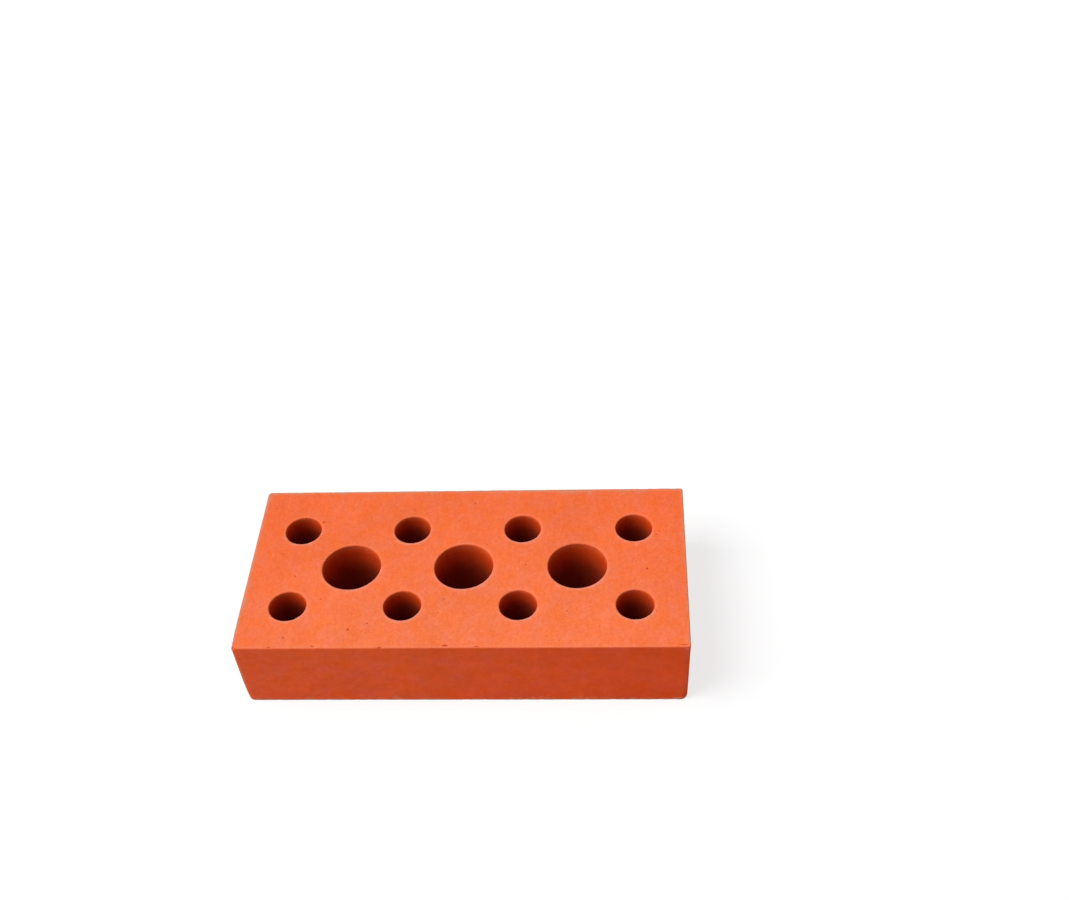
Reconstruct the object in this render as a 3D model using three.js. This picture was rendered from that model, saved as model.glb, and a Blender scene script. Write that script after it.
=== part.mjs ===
// Perforated clay brick: one extruded, wire-cut and fired piece, lying on its bed face.
//
// Millimetres. +X runs along the length, +Y across the width and +Z up.
// The origin is the centre of the lower bed face.

import * as THREE from 'three';

// Size of the fired brick
const LENGTH = 240;
const WIDTH = 115;
const HEIGHT = 45;

// Edges: the die rounds the upright corners, and the cut edges are only eased
const CORNER_RADIUS = 2;
const ARRIS_EASE = 0.6;

// Cores: a row of large ones down the middle, between two rows of small ones.
// Each large core stands midway between two small ones.
const CORE_PITCH = 62;
const ROW_PITCH = 27.7;
const SMALL_CORE_RADIUS = 10;
const LARGE_CORE_RADIUS = 16;
const SMALL_CORES_IN_ROW = 4;
const LARGE_CORES_IN_ROW = SMALL_CORES_IN_ROW - 1;

// The cores sit a little off the middle of the brick
const CORES_OFF_CENTRE_X = -1.3;
const CORES_OFF_CENTRE_Y = -1;

// Facets
const CORNER_SEGMENTS = 6;
const EASE_SEGMENTS = 2;
const CORE_SEGMENTS = 40;

const QUARTER_TURN = Math.PI / 2;
const FULL_TURN = Math.PI * 2;

function arcPoints(centreX, centreY, radius, startAngle, sweep, segments) {
  const arc = new THREE.EllipseCurve(centreX, centreY, radius, radius, startAngle, startAngle + sweep);
  return arc.getPoints(segments);
}

// The brick's outline in plan: a rectangle with four rounded corners
function outlineShape() {
  const cornerX = LENGTH / 2 - CORNER_RADIUS;
  const cornerY = WIDTH / 2 - CORNER_RADIUS;
  const corners = [
    [cornerX, cornerY],
    [-cornerX, cornerY],
    [-cornerX, -cornerY],
    [cornerX, -cornerY],
  ];
  const points = corners.flatMap(([x, y], turn) =>
    arcPoints(x, y, CORNER_RADIUS, turn * QUARTER_TURN, QUARTER_TURN, CORNER_SEGMENTS)
  );
  return new THREE.Shape(points);
}

// One round core as a hole in the plan; the circle's last point repeats its first
function corePath(x, y, radius) {
  const points = arcPoints(x, y, radius, 0, FULL_TURN, CORE_SEGMENTS);
  points.pop();
  return new THREE.Path(points);
}

// A row of cores along X, evenly spaced about the middle of the group
function coreRow(count, y, radius) {
  const firstX = CORES_OFF_CENTRE_X - ((count - 1) * CORE_PITCH) / 2;
  return Array.from({ length: count }, (_, i) =>
    corePath(firstX + i * CORE_PITCH, CORES_OFF_CENTRE_Y + y, radius)
  );
}

function perforatedPlan() {
  const plan = outlineShape();
  plan.holes.push(...coreRow(SMALL_CORES_IN_ROW, ROW_PITCH, SMALL_CORE_RADIUS));
  plan.holes.push(...coreRow(LARGE_CORES_IN_ROW, 0, LARGE_CORE_RADIUS));
  plan.holes.push(...coreRow(SMALL_CORES_IN_ROW, -ROW_PITCH, SMALL_CORE_RADIUS));
  return plan;
}

// The plan is extruded upward. Its arrises and the rims of its cores are eased inside
// the full size, so the walls keep the plan's own outline and radii.
function brickGeometry() {
  const geometry = new THREE.ExtrudeGeometry(perforatedPlan(), {
    depth: HEIGHT - 2 * ARRIS_EASE,
    bevelEnabled: true,
    bevelThickness: ARRIS_EASE,
    bevelSize: ARRIS_EASE,
    bevelOffset: -ARRIS_EASE,
    bevelSegments: EASE_SEGMENTS,
  });
  geometry.translate(0, 0, ARRIS_EASE);
  return geometry;
}

const firedClay = new THREE.MeshStandardMaterial({
  name: 'fired_clay',
  color: 0xe8734a,
  roughness: 0.92,
  metalness: 0,
});

const brick = new THREE.Mesh(brickGeometry(), firedClay);
brick.name = 'brick';

const group = new THREE.Group();
group.add(brick);

export default group;
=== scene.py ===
"""A perforated clay brick as it left the kiln, lying on a pale floor.

The brick's surface is one closed mesh. Its beds and walls are triangulated finely at
the arrises and coarsely between them, then worn, chipped and pitted in millimetres.
"""

import math
import random
from dataclasses import dataclass

import bmesh
import bpy
import numpy as np
from mathutils import Matrix, Vector, noise
from mathutils.geometry import delaunay_2d_cdt


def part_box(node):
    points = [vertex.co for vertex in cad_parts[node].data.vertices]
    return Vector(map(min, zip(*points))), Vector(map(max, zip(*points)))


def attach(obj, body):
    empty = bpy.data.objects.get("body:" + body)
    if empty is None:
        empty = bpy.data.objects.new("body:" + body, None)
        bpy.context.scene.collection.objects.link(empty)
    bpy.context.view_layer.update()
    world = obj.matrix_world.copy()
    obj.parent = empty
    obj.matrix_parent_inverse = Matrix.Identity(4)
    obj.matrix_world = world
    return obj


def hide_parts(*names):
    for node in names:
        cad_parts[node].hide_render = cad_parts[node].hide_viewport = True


MM = 0.001
QUARTER_TURN = math.pi / 2
UP = Vector((0, 0, 1))

# Far below every length that matters
TINY = 1e-6


# --- Sizes, in millimetres where a comment names no other unit ------------------------

# The cores, as the brick's solid has them, and the easing of every arris
CORE_PITCH = 62
ROW_PITCH = 27.7
SMALL_CORE_RADIUS = 10
LARGE_CORE_RADIUS = 16
SMALL_CORES_IN_ROW = 4
LARGE_CORES_IN_ROW = SMALL_CORES_IN_ROW - 1
CORES_OFF_CENTRE_X = -1.3
CORES_OFF_CENTRE_Y = -1
ARRIS_EASE = 0.6

# The upright corners are tight for most of their height and rounder at the foot. The
# higher the exponent, the nearer the foot they open out.
CORNER_RADIUS = 1.8
CORNER_RADIUS_FOOT = 4.5
FOOT_ROUNDING = 5

# The ends lean in towards the foot: how far at the foot, with what exponent that grows
# with depth, and over what length of brick
END_LEAN = 1.05
END_LEAN_GROWTH = 0.7
END_LEAN_REACH = 18

# Triangle sizes: far from every edge, and how often that may be halved; at an arris, and
# how much they grow for each millimetre away from it; and the same at a nick
COARSE = 1.8
LEVELS = 3
ARRIS_SPACING = 0.5
ARRIS_GROWTH = 0.28
NICK_SPACING = 0.24
NICK_GROWTH = 0.4

# A finer level starts where the wanted size is below this share of the coarser level's,
# and a free point keeps this share of its triangle size from a rim or a seam
LEVEL_SWITCH = 0.75
CLEARANCE = 0.62

# The step in which the wanted sizes are summed up along an edge
PROBE_STEP = 0.1

# Rings of points that carry the shape of a pit: the share of its radius and the number of
# points in each ring; and how far other points stay from the last ring
PIT_RINGS = ((0.5, 6), (0.95, 9), (1.35, 10))
PIT_CLEARANCE = 0.3

# Points of neighbouring patches that are closer than this are one
WELD_DISTANCE = 0.01

# Octaves of fine noise: how each is weaker than the last, and how much finer
OCTAVE_FALL = 1.0
OCTAVE_STEP = 2.1

# Relief of the whole surface, each with its depth and its wavelength: slow warp of the
# faces, unevenness of the skin, and drag marks of the wire on the beds, along x, y and z
WARP_DEPTH = 0.10
WARP_WAVE = 95
SKIN_DEPTH = 0.022
SKIN_WAVE = 7
DRAG_DEPTH = 0.016
DRAG_WAVE = (2.6, 30, 30)

# Crumbling of the arrises: depth, wavelength, how far it reaches from an arris, and how
# far below the middle of its noise it starts
CRUMBLE_DEPTH = 0.16
CRUMBLE_WAVE = 3.1
CRUMBLE_REACH = 0.9
CRUMBLE_START = 0.12

# Nicks that stand out by the front arris: place along it, distance behind it, half
# length and depth
FRONT_NICKS = [
    (-99.5, 1.0, 0.9, 0.34),
    (-76.5, 1.5, 1.0, 0.37),
    (-73.2, 0.2, 1.3, 0.30),
    (-41.0, 0.5, 1.2, 0.50),
    (-7.0, 1.8, 1.6, 0.53),
    (9.8, 1.0, 1.7, 0.38),
    (79.7, 1.4, 0.7, 0.24),
    (113.0, 0.5, 1.8, 0.28),
    (116.4, 1.8, 3.0, 0.34),
]

# Nicks strewn over the outer arrises of the upper and the lower bed: how many, and the
# least and the greatest half length and depth
NICK_SEED = 5
UPPER_NICKS = 22
LOWER_NICKS = 36
NICK_HALF_LENGTHS = (0.3, 0.9)
NICK_DEPTHS = (0.12, 0.32)

# The easing of an arris hides part of a nick, so it is cut this many times as deep
NICK_CUT = 1.3

# Knocks that blunted the upper corners: side in x, side in y, half length and depth
CORNER_KNOCKS = [
    (-1, -1, 3.8, 2.15),
    (-1, 1, 2.6, 1.3),
    (1, -1, 2.2, 1.2),
]

# A long shallow knock on the left arris: how far behind the front, half length, half
# width and depth, and how far down it goes for each millimetre inward
LEFT_KNOCK = (3.0, 7.0, 3.0, 0.95)
LEFT_KNOCK_SLOPE = 0.6

# Pits that stand out on the upper bed: x, y and radius
BED_PITS = [
    (-59.3, -44.8, 0.78),
    (-49.5, -40.7, 0.52),
    (-83.6, 33.3, 0.85),
    (1.8, 47.2, 0.55),
    (98.7, -3.5, 0.85),
    (98.1, -6.4, 0.42),
    (104.3, 21.8, 0.56),
    (106.1, 24.0, 0.52),
    (32.6, -40.5, 0.48),
    (56.0, -32.9, 0.46),
    (-93.5, -7.3, 0.50),
    (-77.1, -23.8, 0.52),
    (-103.0, 9.5, 0.36),
    (10.6, 15.2, 0.45),
]

# Pits strewn over each bed: how many, the least and the greatest radius, and how far they
# keep from the sides and from the cores
PIT_SEED = 11
STREWN_PITS = 44
PIT_RADII = (0.24, 0.46)
PIT_TO_SIDE = 3
PIT_TO_CORE = 2

# How deep every pit is, as a share of its radius
PIT_DEPTH = 0.9

# How uneven a hollow is, as a share of its size, and at what wavelength; how many times
# its size it reaches at most; how strongly a knock's floor takes painted shade beside a pit;
# and how deep a hollow is where its painted shade is full
HOLLOW_UNEVENNESS = 0.3
HOLLOW_WAVE = 0.9
HOLLOW_REACH = 1.5
KNOCK_SHADE_SHARE = 0.1
FULL_SHADE_DEPTH = 0.3

# How far the pale band reaches from an arris, rubbed clay with a painted highlight where an
# eased rim catches light from behind, strongest on the front rim of each core; over what
# width it ends, how ragged that end is and at what wavelength; how much of it there is
# where no core lies behind; and how much of the rest there is straight beside a core
RUB_HIGHLIGHT_REACH = 2.2
RUB_HIGHLIGHT_FADE = 1.2
RUB_HIGHLIGHT_RAGGEDNESS = 0.5
RUB_HIGHLIGHT_WAVE = 2.4
RUB_HIGHLIGHT_LEAST = 0.2
RUB_HIGHLIGHT_BESIDE = 0.1

# How far dust reaches from the outer arrises: on the upper bed from its left, right and
# back, up the sides from the foot, down from the edge of a bed, and round the upright
# corners; how sharply it ends, how ragged it is and at what two wavelengths, and its share
# of the corners on the left and on the right
DUST_LEFT = 2.3
DUST_RIGHT = 1.4
DUST_BACK = 2.6
DUST_FOOT = 2.2
DUST_DOWN = 0.9
DUST_CORNER = 1.9
DUST_SHARPNESS = 1.8
DUST_RAGGEDNESS = 0.5
DUST_WAVE = 2.2
DUST_SLOW_WAVE = 13
DUST_ON_CORNERS = (0.8, 0.2)

# How far down a core its painted shade deepens, in radii, and how far above the foot the
# painted shade is gone again
CORE_SHADE_REACH = 1.5
CORE_FOOT = 7


# --- Plan -----------------------------------------------------------------------------


class Outline:
    """The brick's outline in plan, followed by its length s from the back of the right end."""

    def __init__(self, length, width, height):
        self.half = np.array([length / 2, width / 2])
        self.height = height
        arc = QUARTER_TURN * CORNER_RADIUS_FOOT
        straight_x = length - 2 * CORNER_RADIUS_FOOT
        straight_y = width - 2 * CORNER_RADIUS_FOOT
        runs = [arc, straight_x, arc, straight_y] * 2
        self.breaks = np.concatenate([[0], np.cumsum(runs)])
        self.perimeter = self.breaks[-1]

    def corner_radius(self, z):
        lowness = np.clip(1 - z / self.height, 0, 1)
        return CORNER_RADIUS + (CORNER_RADIUS_FOOT - CORNER_RADIUS) * lowness**FOOT_ROUNDING

    def corner_centre(self, corner, radius):
        corner = corner % 4
        side_x = np.where((corner == 0) | (corner == 3), 1, -1)
        side_y = np.where(corner < 2, 1, -1)
        return np.stack([side_x * (self.half[0] - radius), side_y * (self.half[1] - radius)], 1)

    def points(self, s, z, inset):
        """Plan points at lengths s and heights z, moved inward by inset."""
        last = len(self.breaks) - 2
        run = np.clip(np.searchsorted(self.breaks, s, side="right") - 1, 0, last)
        share = (s - self.breaks[run]) / (self.breaks[run + 1] - self.breaks[run])
        corner = run // 2
        on_arc = run % 2 == 0
        angle = QUARTER_TURN * (corner + np.where(on_arc, share, 1))
        along = np.where(on_arc, 0, share)[:, None]
        radius = self.corner_radius(z)
        centre = self.corner_centre(corner, radius) * (1 - along)
        centre += self.corner_centre(corner + 1, radius) * along
        reach = (radius - inset)[:, None]
        return centre + reach * np.stack([np.cos(angle), np.sin(angle)], 1)

    def distance(self, points, z):
        """How far inside the outline each plan point is."""
        radius = self.corner_radius(z)
        past = np.abs(points) - (self.half - radius[:, None])
        outside = np.linalg.norm(np.maximum(past, 0), axis=1)
        inside = np.minimum(past.max(axis=1), 0)
        return radius - outside - inside


class Core:
    """One round core, followed by its length s round the rim. It is the same at every z."""

    def __init__(self, x, y, radius):
        self.centre = np.array([x, y])
        self.radius = radius
        self.perimeter = 2 * math.pi * radius

    def points(self, s, z, inset):
        """Plan points at lengths s, moved into the clay by inset."""
        angle = s / self.radius
        reach = (self.radius + inset)[:, None]
        return self.centre + reach * np.stack([np.cos(angle), np.sin(angle)], 1)

    def distance(self, points, z):
        """How far outside the core each plan point is."""
        return np.linalg.norm(points - self.centre, axis=1) - self.radius


def make_cores():
    cores = []
    rows = [
        (SMALL_CORES_IN_ROW, ROW_PITCH, SMALL_CORE_RADIUS),
        (LARGE_CORES_IN_ROW, 0, LARGE_CORE_RADIUS),
        (SMALL_CORES_IN_ROW, -ROW_PITCH, SMALL_CORE_RADIUS),
    ]
    for count, y, radius in rows:
        first_x = CORES_OFF_CENTRE_X - (count - 1) * CORE_PITCH / 2
        for i in range(count):
            cores.append(Core(first_x + i * CORE_PITCH, CORES_OFF_CENTRE_Y + y, radius))
    return cores


# --- The brick and its hollows --------------------------------------------------------


@dataclass
class Scoop:
    """A small hollow: an ellipsoid cut into the surface, inward from its place.

    Its floor is darkened with painted shade that goes by the depth of the cut, times its share of
    shade.
    """

    place: tuple
    inward: tuple
    along: tuple
    half_length: float
    half_width: float
    depth: float
    shade_share: float = 1.0


def bed_pit(x, y, z, radius, inward):
    return Scoop((x, y, z), (0, 0, inward), (1, 0, 0), radius, radius, radius * PIT_DEPTH)


def arris_nick(place, inward, along, half_length, depth):
    """A nick as wide as it is deep."""
    inward = tuple(Vector(inward).normalized())
    cut = depth * NICK_CUT
    return Scoop(place, inward, tuple(along), half_length, cut, cut)


class Brick:
    """The sizes, edges and hollows of the whole brick."""

    def __init__(self, low, high):
        self.length, self.width, self.height = (high - low) / MM
        self.outline = Outline(self.length, self.width, self.height)
        self.cores = make_cores()
        self.edges = [self.outline, *self.cores]
        self.pits = self.make_pits()
        self.nicks = self.make_nicks()

    def make_pits(self):
        draw = random.Random(PIT_SEED)
        pits = [bed_pit(x, y, self.height, radius, -1) for x, y, radius in BED_PITS]
        pits += self.strewn_pits(draw, self.height, -1)
        pits += self.strewn_pits(draw, 0, 1)
        return pits

    def strewn_pits(self, draw, z, inward):
        pits = []
        while len(pits) < STREWN_PITS:
            x = draw.uniform(-0.5, 0.5) * (self.length - 2 * PIT_TO_SIDE)
            y = draw.uniform(-0.5, 0.5) * (self.width - 2 * PIT_TO_SIDE)
            here = np.array([[x, y]])
            if min(core.distance(here, z)[0] for core in self.cores) >= PIT_TO_CORE:
                pits.append(bed_pit(x, y, z, draw.uniform(*PIT_RADII), inward))
        return pits

    def make_nicks(self):
        draw = random.Random(NICK_SEED)
        nicks = [self.front_nick(*nick) for nick in FRONT_NICKS]
        nicks += [self.corner_knock(*knock) for knock in CORNER_KNOCKS]
        nicks.append(self.left_knock(*LEFT_KNOCK))
        nicks += self.strewn_nicks(draw, self.height, -1, UPPER_NICKS)
        nicks += self.strewn_nicks(draw, 0, 1, LOWER_NICKS)
        return nicks

    def front_nick(self, x, behind, half_length, depth):
        """A nick cut slantwise at the arris, and straight down 1 mm or more behind it."""
        place = (x, behind - self.width / 2, self.height)
        return arris_nick(place, (0, max(1 - behind, 0), -1), (1, 0, 0), half_length, depth)

    def corner_knock(self, side_x, side_y, half_length, depth):
        x = side_x * self.length / 2
        y = side_y * self.width / 2
        inward = tuple(Vector((-side_x, -side_y, -1)).normalized())
        along = tuple(Vector((side_x, -side_y, 0)).normalized())
        place = (x, y, self.height)
        return Scoop(place, inward, along, half_length, half_length, depth, KNOCK_SHADE_SHARE)

    def left_knock(self, behind, half_length, half_width, depth):
        place = (-self.length / 2, behind - self.width / 2, self.height)
        inward = tuple(Vector((1, 0, -LEFT_KNOCK_SLOPE)).normalized())
        return Scoop(place, inward, (0, 1, 0), half_length, half_width, depth, KNOCK_SHADE_SHARE)

    def strewn_nicks(self, draw, z, down, count):
        nicks = []
        for _ in range(count):
            s = draw.uniform(0, self.outline.perimeter)
            half_length = draw.uniform(*NICK_HALF_LENGTHS)
            depth = draw.uniform(*NICK_DEPTHS)
            nicks.append(self.outline_nick(s, z, down, half_length, depth))
        return nicks

    def outline_nick(self, s, z, down, half_length, depth):
        """A nick in an outer arris at length s, on the bed at height z."""
        steps = np.array([s, s + PROBE_STEP])
        (x, y), (next_x, next_y) = self.outline.points(steps, np.full(2, float(z)), np.zeros(2))
        along = Vector((next_x - x, next_y - y, 0)).normalized()
        inward = UP.cross(along)
        return arris_nick((x, y, z), (inward.x, inward.y, down), along, half_length, depth)


# --- Triangulation --------------------------------------------------------------------


def wall_length(height):
    """Length down a wall from bed to bed, round both of its eased arrises."""
    return height - 2 * ARRIS_EASE + math.pi * ARRIS_EASE


def profile(t, height):
    """Height and inset at length t down a wall that starts and ends on the beds."""
    arc = QUARTER_TURN * ARRIS_EASE
    total = wall_length(height)
    from_bed = np.minimum(t, total - t)
    turn = np.clip(from_bed / ARRIS_EASE, 0, QUARTER_TURN)
    inset = ARRIS_EASE * (1 - np.sin(turn))
    drop = ARRIS_EASE * (1 - np.cos(turn)) + np.maximum(from_bed - arc, 0)
    z = np.where(t < total / 2, height - drop, drop)
    return z, inset


def wall_points(edge, s, t, height):
    z, inset = profile(t, height)
    plan = edge.points(s, z, inset)
    return np.column_stack([plan, z])


def at_height(plan, z):
    """Plan points as points in space, all at height z."""
    return np.column_stack([plan, np.full(len(plan), float(z))])


def surface_distances(brick, points):
    """How far each surface point is from the beds, from the outer sides and from the bores."""
    z = points[:, 2]
    plan = points[:, :2]
    bed = np.minimum(z, brick.height - z)
    side = brick.outline.distance(plan, z)
    bore = np.min([core.distance(plan, z) for core in brick.cores], axis=0)
    return np.array([bed, side, bore])


def arris_distance(distances):
    """How far each surface point is from an arris, where the next nearest surface starts."""
    return np.sort(np.abs(distances), axis=0)[1]


def spacing(brick, points):
    """The triangle size wanted at each surface point."""
    to_arris = arris_distance(surface_distances(brick, points))
    size = np.clip(ARRIS_SPACING + ARRIS_GROWTH * to_arris, 0, COARSE)
    for nick in brick.nicks:
        away = np.linalg.norm(points - nick.place, axis=1) - nick.half_length
        size = np.minimum(size, np.clip(NICK_SPACING + NICK_GROWTH * away, NICK_SPACING, None))
    return size


def rim_points(edge, s, z):
    """Points at lengths s along an edge, where the bed at height z meets the eased arris."""
    inset = np.full(len(s), ARRIS_EASE)
    return edge.points(s, np.full(len(s), float(z)), inset)


def edge_samples(brick, edge, z):
    """Lengths along an edge, close together where small triangles are wanted."""
    probe = np.linspace(0, edge.perimeter, int(edge.perimeter / PROBE_STEP) + 1)
    steps = 1 / spacing(brick, at_height(rim_points(edge, probe, z), z))
    count = np.concatenate([[0], np.cumsum((steps[1:] + steps[:-1]) / 2 * np.diff(probe))])
    whole = math.ceil(count[-1])
    return np.interp(np.linspace(0, count[-1], whole + 1), count, probe)


def lattice(width, height):
    """A fine triangular lattice over a rectangle, and the coarsest level of each point."""
    fine = COARSE / 2**LEVELS
    rows = int(height / fine / math.sin(math.pi / 3)) + 1
    columns = int(width / fine) + 1
    j, i = np.mgrid[0:rows, -(rows // 2) : columns]
    i = i.ravel()
    j = j.ravel()
    points = fine * np.stack([i + j / 2, j * math.sin(math.pi / 3)], 1)
    both = i | j
    level = np.full(len(i), LEVELS)
    for k in range(1, LEVELS + 1):
        level[both % 2**k == 0] = LEVELS - k
    inside = (points[:, 0] > 0) & (points[:, 0] < width) & (points[:, 1] < height)
    return points[inside], level[inside]


def wanted(brick, surface, level):
    """Which lattice points the surface's wanted triangle sizes call for, and those sizes."""
    size = spacing(brick, surface)
    coarser = COARSE / 2.0 ** (level - 1)
    return (level == 0) | (size < coarser * LEVEL_SWITCH), size


def triangulate(flat):
    """Triangles over points in a plane, as indices into them."""
    _, _, faces, origins, _, _ = delaunay_2d_cdt([Vector(p) for p in flat], [], [], 0, TINY)
    first = np.array([origin[0] for origin in origins])
    return first[np.array(faces)]


def wall_patch(brick, edge, top_samples, foot_samples):
    """The wall under one edge with both of its eased arrises, as a flat sheet rolled up."""
    total = wall_length(brick.height)
    arc = QUARTER_TURN * ARRIS_EASE
    flat, level = lattice(edge.perimeter, total)
    surface = wall_points(edge, flat[:, 0], flat[:, 1], brick.height)
    keep, size = wanted(brick, surface, level)
    to_rim = np.minimum(flat[:, 1], total - flat[:, 1]) - arc
    to_seam = np.minimum(flat[:, 0], edge.perimeter - flat[:, 0])
    keep &= np.minimum(to_rim, to_seam) > CLEARANCE * size
    rows = [(top_samples, t) for t in (0, arc / 2, arc)]
    rows += [(foot_samples, total - t) for t in (0, arc / 2, arc)]
    rows = [np.column_stack([samples, np.full(len(samples), t)]) for samples, t in rows]
    climb = np.arange(arc + ARRIS_SPACING, total - arc - ARRIS_SPACING / 2, COARSE / 2)
    seams = [np.column_stack([np.full(len(climb), s), climb]) for s in (0, edge.perimeter)]
    flat = np.vstack([*rows, *seams, flat[keep]])
    return wall_points(edge, flat[:, 0], flat[:, 1], brick.height), triangulate(flat)


def pit_points(pits):
    """The centre and the rings of points that carry the shape of each pit."""
    rings = []
    for pit in pits:
        rings.append([pit.place[:2]])
        for share, count in PIT_RINGS:
            turns = np.linspace(0, 2 * math.pi, count, endpoint=False) + share
            ring = np.stack([np.cos(turns), np.sin(turns)], 1) * share * pit.half_length
            rings.append(ring + pit.place[:2])
    return np.vstack(rings)


def free_bed_points(brick, z, pits):
    """The lattice points of a bed that keep clear of its rims and pits."""
    flat, level = lattice(brick.length, brick.width)
    flat = flat - np.array([brick.length, brick.width]) / 2
    heights = np.full(len(flat), float(z))
    gap = np.min([edge.distance(flat, heights) for edge in brick.edges], axis=0) - ARRIS_EASE
    inside = gap > 0
    flat = flat[inside]
    keep, size = wanted(brick, at_height(flat, z), level[inside])
    keep &= gap[inside] > CLEARANCE * size
    for pit in pits:
        ring = PIT_RINGS[-1][0] * pit.half_length
        keep &= np.linalg.norm(flat - pit.place[:2], axis=1) > ring + PIT_CLEARANCE
    return flat[keep]


def bed_patch(brick, z, samples):
    """One bed, between the outline and the cores."""
    pits = [pit for pit in brick.pits if pit.place[2] == z]
    rims = [rim_points(edge, places[:-1], z) for edge, places in zip(brick.edges, samples)]
    inner = np.vstack([pit_points(pits), free_bed_points(brick, z, pits)])
    flat = np.vstack([*rims, inner])
    triangles = triangulate(flat)

    # A triangle with all its corners on one core's rim lies over that core
    owners = np.repeat(np.arange(len(rims)), [len(rim) for rim in rims])
    owners = np.concatenate([owners, np.zeros(len(inner), int)])[triangles]
    over_core = (owners[:, 0] > 0) & (owners[:, 0] == owners[:, 1]) & (owners[:, 1] == owners[:, 2])
    return at_height(flat, z), triangles[~over_core]


def closed_mesh(brick):
    """The brick's whole surface before any wear, in millimetres, as one welded mesh."""
    top = [edge_samples(brick, edge, brick.height) for edge in brick.edges]
    foot = [edge_samples(brick, edge, 0) for edge in brick.edges]
    patches = [bed_patch(brick, brick.height, top), bed_patch(brick, 0, foot)]
    for edge, top_samples, foot_samples in zip(brick.edges, top, foot):
        patches.append(wall_patch(brick, edge, top_samples, foot_samples))
    points = np.vstack([patch[0] for patch in patches])
    starts = np.cumsum([0] + [len(patch[0]) for patch in patches[:-1]])
    triangles = np.vstack([patch[1] + start for patch, start in zip(patches, starts)])
    mesh = bpy.data.meshes.new("brick_body")
    mesh.from_pydata(points.tolist(), [], triangles.tolist())
    weld(mesh)
    return mesh


def weld(mesh):
    """Joins the patches along their rims and seams, and turns every triangle outward."""
    build = bmesh.new()
    build.from_mesh(mesh)
    bmesh.ops.remove_doubles(build, verts=build.verts, dist=WELD_DISTANCE)
    bmesh.ops.recalc_face_normals(build, faces=build.faces)
    open_edges = sum(not edge.is_manifold for edge in build.edges)
    print("brick mesh:", len(build.faces), "triangles,", open_edges, "open edges")
    build.to_mesh(mesh)
    build.free()


# --- Relief ---------------------------------------------------------------------------


def field(points, wave, octaves=1):
    """Smooth noise about 0 at each point; wave is its length, or one for each axis."""
    scaled = points / np.array(wave)
    if octaves == 1:
        return np.array([noise.noise(Vector(p)) for p in scaled])
    return np.array([noise.fractal(Vector(p), OCTAVE_FALL, OCTAVE_STEP, octaves) for p in scaled])


def share_on(own, other, third):
    """How much a point belongs to its own surface: 1 on it, 0 on either of the others."""
    return np.clip(0.5 + (np.minimum(other, third) - own) / (2 * ARRIS_EASE), 0, 1)


def end_lean(brick, points):
    """How much the ends' lean takes off each point's x."""
    past = np.clip((np.abs(points[:, 0]) - brick.length / 2) / END_LEAN_REACH + 1, 0, 1)
    depth = np.clip(1 - points[:, 2] / brick.height, 0, 1)
    return np.sign(points[:, 0]) * (END_LEAN * past**2 * depth**END_LEAN_GROWTH)


def relief(points, on_bed, to_arris):
    """How far the fired surface lies inside the true one at each point."""
    warp = WARP_DEPTH * (field(points, WARP_WAVE) - 1)
    skin = SKIN_DEPTH * field(points, SKIN_WAVE, 2)
    drag = DRAG_DEPTH * field(points, DRAG_WAVE, 2) * on_bed
    crumble = np.clip(field(points, CRUMBLE_WAVE, 3) + CRUMBLE_START, 0, None)
    crumble = CRUMBLE_DEPTH * crumble * np.clip(1 - to_arris / CRUMBLE_REACH, 0, 1)
    return crumble - warp - skin - drag


def carve(points, scoops):
    """Moves the points inside each scoop to its floor, and says how deep the painted shade on it
    is.
    """
    hollow_shade = np.zeros(len(points))
    for scoop in scoops:
        away = points - scoop.place
        reach = max(scoop.half_length, scoop.half_width, scoop.depth) * HOLLOW_REACH
        near = np.flatnonzero((np.abs(away) < reach).all(axis=1))
        inward = np.array(scoop.inward)
        along = np.array(scoop.along)
        across = np.cross(inward, along)
        part = away[near]
        rough = 1 + HOLLOW_UNEVENNESS * field(points[near], HOLLOW_WAVE, 2)
        radial = (part @ along / scoop.half_length) ** 2 + (part @ across / scoop.half_width) ** 2
        radial /= rough**2
        floor = scoop.depth * np.sqrt(np.clip(1 - radial, 0, None)) * rough
        drop = np.where(radial < 1, np.maximum(floor - part @ inward, 0), 0)
        points[near] += drop[:, None] * inward
        hollow_shade[near] = np.maximum(hollow_shade[near], drop * scoop.shade_share)
    return hollow_shade


# --- What the clay's material reads from the mesh -------------------------------------


def core_depth(brick, points):
    """How deep in a core each point is: 0 at a bed, 1 where the painted shade is darkest."""
    plan = points[:, :2]
    z = points[:, 2]
    nearest = np.argmin([core.distance(plan, z) for core in brick.cores], axis=0)
    radius = np.array([core.radius for core in brick.cores])[nearest]
    from_top = (brick.height - z) / (CORE_SHADE_REACH * radius)
    return np.clip(np.minimum(from_top, z / CORE_FOOT), 0, 1)


def core_behind(brick, points):
    """How squarely the nearest core lies behind each point: 1 squarely, -1 not at all."""
    plan = points[:, :2]
    z = points[:, 2]
    nearest = np.argmin([edge.distance(plan, z) for edge in brick.edges], axis=0)
    centres = np.array([[0, 0]] + [core.centre for core in brick.cores])[nearest]
    from_centre = plan - centres
    facing = -from_centre[:, 1] / np.maximum(np.linalg.norm(from_centre, axis=1), TINY)
    return np.where(nearest == 0, -1, facing)


def rub_and_highlight(points, to_arris):
    """How pale each point is, rubbed and with a painted highlight, by its distance from an arris.
    """
    ragged = to_arris * (1 + RUB_HIGHLIGHT_RAGGEDNESS * field(points, RUB_HIGHLIGHT_WAVE, 2))
    return np.clip((RUB_HIGHLIGHT_REACH - ragged) / RUB_HIGHLIGHT_FADE, 0, 1)


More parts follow.
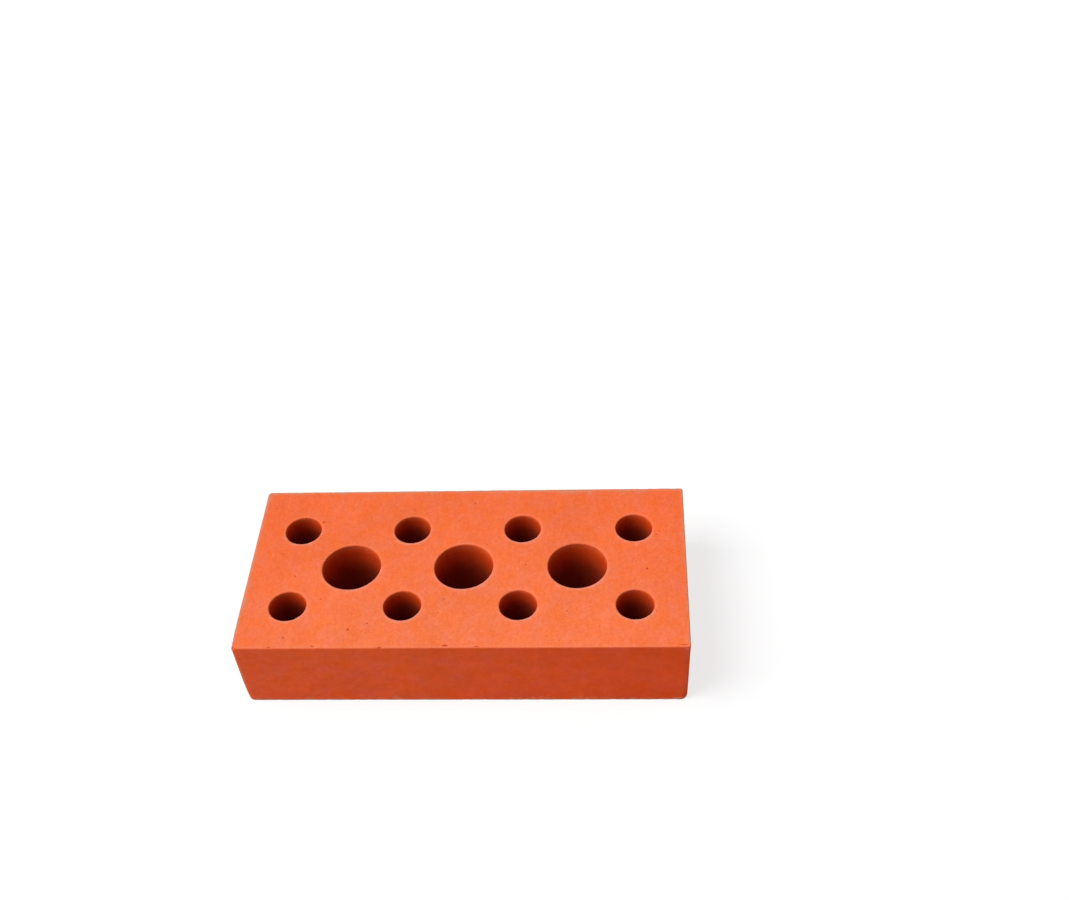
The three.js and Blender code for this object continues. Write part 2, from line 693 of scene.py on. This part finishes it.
def settled_dust(brick, points, bed, side):
    """How much dust has settled: on the outer arrises, but for the front one on top."""
    uneven = field(points, DUST_WAVE, 2) + field(points, DUST_SLOW_WAVE)
    ragged = 1 + DUST_RAGGEDNESS * uneven
    half_length, half_width = brick.outline.half
    x, y, z = points.T
    to_end = np.minimum((half_length + x) / DUST_LEFT, (half_length - x) / DUST_RIGHT)
    to_back = (half_width - y) / DUST_BACK
    by_top = np.maximum(np.minimum(to_end, to_back), bed / DUST_DOWN)
    by_foot = np.maximum(z / DUST_FOOT, side / DUST_DOWN)
    away = ragged * np.where(z > brick.height / 2, by_top, by_foot)
    band = np.clip(DUST_SHARPNESS * (1 - away), 0, 1)
    to_corner = np.linalg.norm(brick.outline.half - np.abs(points[:, :2]), axis=1)
    corner = np.clip(DUST_SHARPNESS * (1 - ragged * to_corner / DUST_CORNER), 0, 1)
    corner *= np.where(x < 0, *DUST_ON_CORNERS) * (side < bed)
    return np.maximum(band, corner)


# --- The worn brick -------------------------------------------------------------------


def read_vectors(mesh, name):
    """One vector of each vertex, as the rows of an array."""
    values = np.zeros(len(mesh.vertices) * 3)
    mesh.vertices.foreach_get(name, values)
    return values.reshape(-1, 3)


def store(mesh, name, values):
    attribute = mesh.attributes.new(name, "FLOAT", "POINT")
    attribute.data.foreach_set("value", np.asarray(values, np.float32))


def wear_surface(brick, mesh):
    """Displaces the true surface and stores what the clay's material needs to know."""
    points = read_vectors(mesh, "co")
    normals = read_vectors(mesh, "normal")
    distances = surface_distances(brick, points)
    bed, side, bore = distances
    to_arris = arris_distance(distances)
    on_bed = share_on(bed, side, bore)
    on_bore = share_on(bore, side, bed)
    # The painted highlight is strongest on the rim in front of each core
    behind = np.clip(core_behind(brick, points) + RUB_HIGHLIGHT_BESIDE, 0, 1)
    dust = settled_dust(brick, points, bed, side)

    points[:, 0] -= end_lean(brick, points)
    points -= normals * relief(points, on_bed, to_arris)[:, None]
    hollow_shade = carve(points, brick.nicks + brick.pits)
    rub_highlight_share = rub_and_highlight(points, to_arris) * on_bed
    rub_highlight_share *= RUB_HIGHLIGHT_LEAST + (1 - RUB_HIGHLIGHT_LEAST) * behind

    mesh.vertices.foreach_set("co", (points * MM).ravel())
    store(mesh, "bed", on_bed)
    store(mesh, "bore", on_bore)
    # How far the painted shade down the cores has deepened
    store(mesh, "deep", core_depth(brick, points))
    store(mesh, "rub_highlight_share", rub_highlight_share)
    store(mesh, "dust", dust)
    # How strong the painted shade on the floors of the hollows is
    store(mesh, "cavity", np.clip(hollow_shade / FULL_SHADE_DEPTH, 0, 1))
    mesh.polygons.foreach_set("use_smooth", [True] * len(mesh.polygons))
    mesh.update()


# --- Node trees -----------------------------------------------------------------------


@dataclass
class Noise:
    """A kind of noise in the clay.

    It has a wavelength in millimetres along x, y and z, an amount of finer detail, and a
    shift that sets it apart from the others. The span, if any, is a start and an end that
    are spread from 0 to 1, or from the low to the high that may follow them.
    """

    wave: tuple
    detail: float
    shift: float = 0
    span: tuple = ()


class Graph:
    """The node tree of a material or a world, built a node at a time."""

    def __init__(self, owner):
        owner.use_nodes = True
        self.tree = owner.node_tree

    def add(self, kind, inputs, output=0, **settings):
        node = self.tree.nodes.new(kind)
        for name, value in settings.items():
            setattr(node, name, value)
        for socket, value in inputs.items():
            self.put(value, node.inputs[socket])
        return node.outputs[output]

    def put(self, value, socket):
        if isinstance(value, bpy.types.NodeSocket):
            self.tree.links.new(value, socket)
        else:
            socket.default_value = value

    def attribute(self, name):
        return self.add("ShaderNodeAttribute", {}, "Fac", attribute_name=name)

    def place(self, axis):
        """Where a point is along one axis of the brick, in metres."""
        place = self.add("ShaderNodeTexCoord", {}, "Object")
        return self.add("ShaderNodeSeparateXYZ", {"Vector": place}, axis)

    def noise(self, kind):
        """One kind of noise, about 0.5 where no span of it is spread."""
        place = self.add("ShaderNodeTexCoord", {}, "Object")
        scale = [1 / (MM * length) for length in kind.wave]
        shifted = {"Location": [kind.shift] * 3, "Scale": scale}
        place = self.add("ShaderNodeMapping", {"Vector": place, **shifted})
        settings = {"Vector": place, "Scale": 1.0, "Detail": kind.detail}
        settings["Roughness"] = NOISE_ROUGHNESS
        value = self.add("ShaderNodeTexNoise", settings, "Fac")
        return self.ramp(value, *kind.span) if kind.span else value

    def ramp(self, value, start, end, low=0.0, high=1.0):
        """The value's span from start to end, spread smoothly from low to high."""
        inputs = {0: value, 1: start, 2: end, 3: low, 4: high}
        return self.add("ShaderNodeMapRange", inputs, interpolation_type="SMOOTHSTEP")

    def math(self, operation, first, second):
        return self.add("ShaderNodeMath", {0: first, 1: second}, operation=operation)

    def mix(self, share, first, second, blend="MIX"):
        inputs = {0: share, 6: first, 7: second}
        return self.add("ShaderNodeMix", inputs, 2, data_type="RGBA", blend_type=blend)

    def tint(self, colour, share, low, high):
        """The colour multiplied by a tint that runs from low to high."""
        tint = self.mix(share, (*low, 1), (*high, 1))
        return self.mix(1.0, colour, tint, "MULTIPLY")

    def vary(self, colour, kind, red, green, blue):
        """The colour with each channel varied by up to so much of itself, either way."""
        low = (1 - red, 1 - green, 1 - blue)
        high = (1 + red, 1 + green, 1 + blue)
        return self.tint(colour, self.noise(kind), low, high)


def linear(red, green, blue):
    """A colour written as 0 to 255 on screen, as the shader wants it."""

    def channel(value):
        share = value / 255
        return share / 12.92 if share <= 0.04045 else ((share + 0.055) / 1.055) ** 2.4

    return (channel(red), channel(green), channel(blue), 1)


# --- Fired clay -----------------------------------------------------------------------

# From front to back the beds darken a little: painted shade, where the light falls off
FRONT_OF_BED = linear(244, 120, 74)
BACK_OF_BED = linear(241, 111, 64)
# The sides are deeper and redder than the beds: partly the die skin's own colour, partly painted
# shade on the sides
LEFT_OF_SIDES = linear(234, 92, 48)
RIGHT_OF_SIDES = linear(225, 80, 36)
# The bores run from the rim's colour through a darker, redder one to a dark one deep down: painted
# shade where less light reaches into the cores
CORE_RIM_COLOUR = linear(236, 98, 48)
BORE_CLAY_AND_SHADE = linear(219, 69, 12)
DEEP_BORE_PAINTED_SHADE = linear(140, 42, 14)
# Pale arrises: rubbed clay, and a painted highlight on the front rims of the cores
PALE_RUB_AND_HIGHLIGHT = linear(236, 142, 114)
# Painted shade on the floors of pits, nicks and knocks
HOLLOW_PAINTED_SHADE = linear(206, 80, 40)
DUST = linear(210, 138, 108)

# From where to where the colour shifts: the beds along y, darker towards the back as
# painted shade where the light falls off; the beds again by how far each point is from
# their middle along x; and the sides along x, darker to the right as painted shade where
# the light falls off
BED_PAINTED_FALLOFF = (-60 * MM, 60 * MM)
BED_ENDS_REDDEN = (60 * MM, 120 * MM)
SIDE_PAINTED_FALLOFF = (-70 * MM, 125 * MM)

# The tint of the beds at the two ends
BED_END_TINT = (0.985, 0.93, 0.90)

# At what share of a core's shaded depth the colour of its rim is gone
RIM_FADE = 0.3

# How strong each octave of a noise is beside the last
NOISE_ROUGHNESS = 0.6

CLOUDS = Noise((45, 60, 45), 2)
MOTTLE = Noise((9, 11, 9), 2, 7, (0.3, 0.7))
WIRE_MARKS = Noise((1.6, 14, 40), 1, 5)
BED_GRAIN = Noise((1.7, 2.1, 1.7), 3, 3)
SMEARS = Noise((9, 9, 6), 2, 9)
BLUISH_SMEARS = Noise((13, 13, 7), 2, 12, (0.3, 0.7))
SIDE_GRAIN = Noise((2.8, 2.8, 2.8), 2, 3)
BORE_STREAKS = Noise((1.4, 1.4, 30), 2, 6)
SAND = Noise((0.3, 0.3, 0.3), 1, 8, (0.35, 0.65))
RUB_HIGHLIGHT_PATCHES = Noise((4, 4, 4), 2, 2, (0.3, 0.55, 0.5))
DUST_THICKNESS = Noise((5, 5, 5), 3, 14, (0.36, 0.6, 0.4, 0.95))
GRIT = Noise((0.9, 1.1, 0.9), 4, 4)

GRIT_STRENGTH = 0.5
GRIT_HEIGHT = 0.042 * MM
CLAY_ROUGHNESS = 0.9
CLAY_SPECULAR = 0.1


def bed_colour(clay):
    """The cut beds darken and redden from the front arris to the back one, as painted shade where
    the light falls off, and redden towards the ends.
    """
    across = clay.ramp(clay.place("Y"), *BED_PAINTED_FALLOFF)
    colour = clay.mix(across, FRONT_OF_BED, BACK_OF_BED)
    outward = clay.math("ABSOLUTE", clay.place("X"), 0)
    return clay.tint(colour, clay.ramp(outward, *BED_ENDS_REDDEN), (1, 1, 1), BED_END_TINT)


def side_colour(clay):
    # From left to right the sides darken: painted shade, where the light falls off
    along = clay.ramp(clay.place("X"), *SIDE_PAINTED_FALLOFF)
    return clay.mix(along, LEFT_OF_SIDES, RIGHT_OF_SIDES)


def bore_colour(clay):
    """The bores darken with depth as painted shade, and are streaked along it."""
    deep = clay.attribute("deep")
    colour = clay.mix(clay.ramp(deep, 0, RIM_FADE), CORE_RIM_COLOUR, BORE_CLAY_AND_SHADE)
    colour = clay.mix(clay.ramp(deep, 0, 1), colour, DEEP_BORE_PAINTED_SHADE)
    return clay.vary(colour, BORE_STREAKS, 0.14, 0.14, 0.14)


def clouded(clay, colour):
    """Slow clouds, and a mottle between orange and pink."""
    colour = clay.vary(colour, CLOUDS, 0.10, 0.12, 0.15)
    return clay.vary(colour, MOTTLE, -0.01, 0.03, 0.24)


def wire_cut(clay, colour):
    """Drag marks of the cutting wire, and the grain that it laid open."""
    colour = clay.vary(colour, WIRE_MARKS, 0.05, 0.05, 0.05)
    return clay.vary(colour, BED_GRAIN, 0.08, 0.26, 0.46)


def die_smeared(clay, colour):
    """Smears of the die, paler and bluer in places, over a coarser grain."""
    colour = clay.vary(colour, SMEARS, 0.10, 0.13, 0.16)
    colour = clay.vary(colour, BLUISH_SMEARS, 0, 0, 0.28)
    return clay.vary(colour, SIDE_GRAIN, 0.05, 0.20, 0.38)


def worn(clay, colour):
    """Arrises rubbed pale in places with a painted highlight on the cores' front rims, hollows with
    painted shade on their floors, and dust over them.
    """
    rub_highlight_share = clay.math("MULTIPLY", clay.attribute("rub_highlight_share"), clay.noise(RUB_HIGHLIGHT_PATCHES))
    colour = clay.mix(rub_highlight_share, colour, PALE_RUB_AND_HIGHLIGHT)
    # Painted shade on the floors of the hollows
    colour = clay.mix(clay.attribute("cavity"), colour, HOLLOW_PAINTED_SHADE)
    dust = clay.math("MULTIPLY", clay.attribute("dust"), clay.noise(DUST_THICKNESS))
    return clay.mix(dust, colour, DUST)


def clay_material():
    material = bpy.data.materials.new("fired_clay")
    clay = Graph(material)
    bed = clay.attribute("bed")
    colour = clay.mix(bed, side_colour(clay), bed_colour(clay))
    colour = clay.mix(clay.attribute("bore"), colour, bore_colour(clay))
    colour = clouded(clay, colour)
    colour = clay.mix(bed, die_smeared(clay, colour), wire_cut(clay, colour))
    colour = clay.vary(colour, SAND, 0.06, 0.12, 0.17)
    colour = worn(clay, colour)

    bump = {"Strength": GRIT_STRENGTH, "Distance": GRIT_HEIGHT, "Height": clay.noise(GRIT)}
    shader = clay.tree.nodes["Principled BSDF"]
    clay.put(colour, shader.inputs["Base Color"])
    clay.put(clay.add("ShaderNodeBump", bump), shader.inputs["Normal"])
    shader.inputs["Roughness"].default_value = CLAY_ROUGHNESS
    shader.inputs["Specular IOR Level"].default_value = CLAY_SPECULAR
    return material


def make_brick():
    low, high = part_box("brick")
    brick = Brick(low, high)
    mesh = closed_mesh(brick)
    wear_surface(brick, mesh)
    mesh.materials.append(clay_material())
    body = bpy.data.objects.new("brick_body", mesh)
    bpy.context.collection.objects.link(body)
    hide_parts("brick")
    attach(body, "root")


# --- Camera, floor and light ----------------------------------------------------------

# The camera: where it stands and looks, its roll in degrees, its focal length and the
# width of its picture in pixels, and the width of its sensor in millimetres
EYE = Vector((87.30, -503.09, 606.23)) * MM
AIM = Vector((33.83, 90.46, 45.0)) * MM
ROLL = -4.30
FOCAL_PIXELS = 1381.8
PICTURE_WIDTH = 1069
SENSOR_WIDTH = 36

# The floor's half size in metres, its colour, how strongly it glows white for the camera
# and in what share, and how far inside the brick's edge the patch without a glow ends
FLOOR_HALF = 3.0
PAPER = (0.65, 0.65, 0.65, 1)
GLOW = 1.25
GLOW_SHARE = 0.6
UNDER_MARGIN = 6 * MM

# The sky as the brick and as the camera sees it, and the sun: where it stands, its
# strength and how wide it is, in degrees
SKY_LIGHT = 0.30
SKY_SEEN = 1.0
SUN_FROM = Vector((-0.55, -0.15, 0.75))
SUN_STRENGTH = 2.96
SUN_ANGLE = 40


def make_camera():
    data = bpy.data.cameras.new("camera")
    data.sensor_width = SENSOR_WIDTH
    data.lens = FOCAL_PIXELS / PICTURE_WIDTH * SENSOR_WIDTH
    camera = bpy.data.objects.new("camera", data)
    bpy.context.collection.objects.link(camera)
    turn = (AIM - EYE).to_track_quat("-Z", "Y").to_matrix().to_4x4()
    roll = Matrix.Rotation(math.radians(ROLL), 4, "Z")
    camera.matrix_world = Matrix.Translation(EYE) @ turn @ roll
    bpy.context.scene.camera = camera


def paper_material(name, glow_share):
    """Pale paper that takes shadows; a share of it glows, but only as the camera sees it."""
    material = bpy.data.materials.new(name)
    graph = Graph(material)
    graph.tree.nodes.remove(graph.tree.nodes["Principled BSDF"])
    paper = graph.add("ShaderNodeBsdfDiffuse", {"Color": PAPER})
    glow = graph.add("ShaderNodeEmission", {"Strength": GLOW})
    shown = graph.add("ShaderNodeMixShader", {0: glow_share, 1: paper, 2: glow})
    seen = graph.add("ShaderNodeLightPath", {}, "Is Camera Ray")
    shader = graph.add("ShaderNodeMixShader", {0: seen, 1: paper, 2: shown})
    graph.put(shader, graph.tree.nodes["Material Output"].inputs["Surface"])
    return material


def make_floor():
    """A wide floor, with the patch that shows only through the cores as a face of its own."""
    corners = [(-1, -1), (1, -1), (1, 1), (-1, 1)]
    _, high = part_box("brick")
    under_x = high[0] - UNDER_MARGIN
    under_y = high[1] - UNDER_MARGIN
    points = [(x * FLOOR_HALF, y * FLOOR_HALF, 0) for x, y in corners]
    points += [(x * under_x, y * under_y, 0) for x, y in corners]
    ring = [(i, (i + 1) % 4, (i + 1) % 4 + 4, i + 4) for i in range(4)]
    mesh = bpy.data.meshes.new("floor")
    mesh.from_pydata(points, [], [*ring, (4, 5, 6, 7)])
    mesh.materials.append(paper_material("floor", GLOW_SHARE))
    mesh.materials.append(paper_material("floor_under", 0))
    mesh.polygons[len(ring)].material_index = 1
    floor = bpy.data.objects.new("floor", mesh)
    bpy.context.collection.objects.link(floor)


def make_world():
    world = bpy.data.worlds.new("world")
    bpy.context.scene.world = world
    sky = Graph(world)
    seen = sky.add("ShaderNodeLightPath", {}, "Is Camera Ray")
    strength = sky.add("ShaderNodeMix", {0: seen, 2: SKY_LIGHT, 3: SKY_SEEN})
    background = sky.tree.nodes["Background"]
    background.inputs["Color"].default_value = (1, 1, 1, 1)
    sky.put(strength, background.inputs["Strength"])


def make_sun():
    data = bpy.data.lights.new("key", "SUN")
    data.angle = math.radians(SUN_ANGLE)
    data.energy = SUN_STRENGTH
    lamp = bpy.data.objects.new("key", data)
    bpy.context.collection.objects.link(lamp)
    lamp.rotation_euler = SUN_FROM.to_track_quat("Z", "Y").to_euler()


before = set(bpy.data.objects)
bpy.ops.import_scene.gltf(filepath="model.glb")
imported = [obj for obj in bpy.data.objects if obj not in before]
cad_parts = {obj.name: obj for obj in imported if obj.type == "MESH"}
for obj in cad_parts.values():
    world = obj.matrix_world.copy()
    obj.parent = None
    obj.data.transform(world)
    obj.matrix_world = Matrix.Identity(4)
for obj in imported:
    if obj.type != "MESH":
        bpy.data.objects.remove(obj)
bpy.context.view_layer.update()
bpy.context.scene.view_settings.view_transform = "Standard"
make_camera()
make_floor()
make_world()
make_sun()
make_brick()
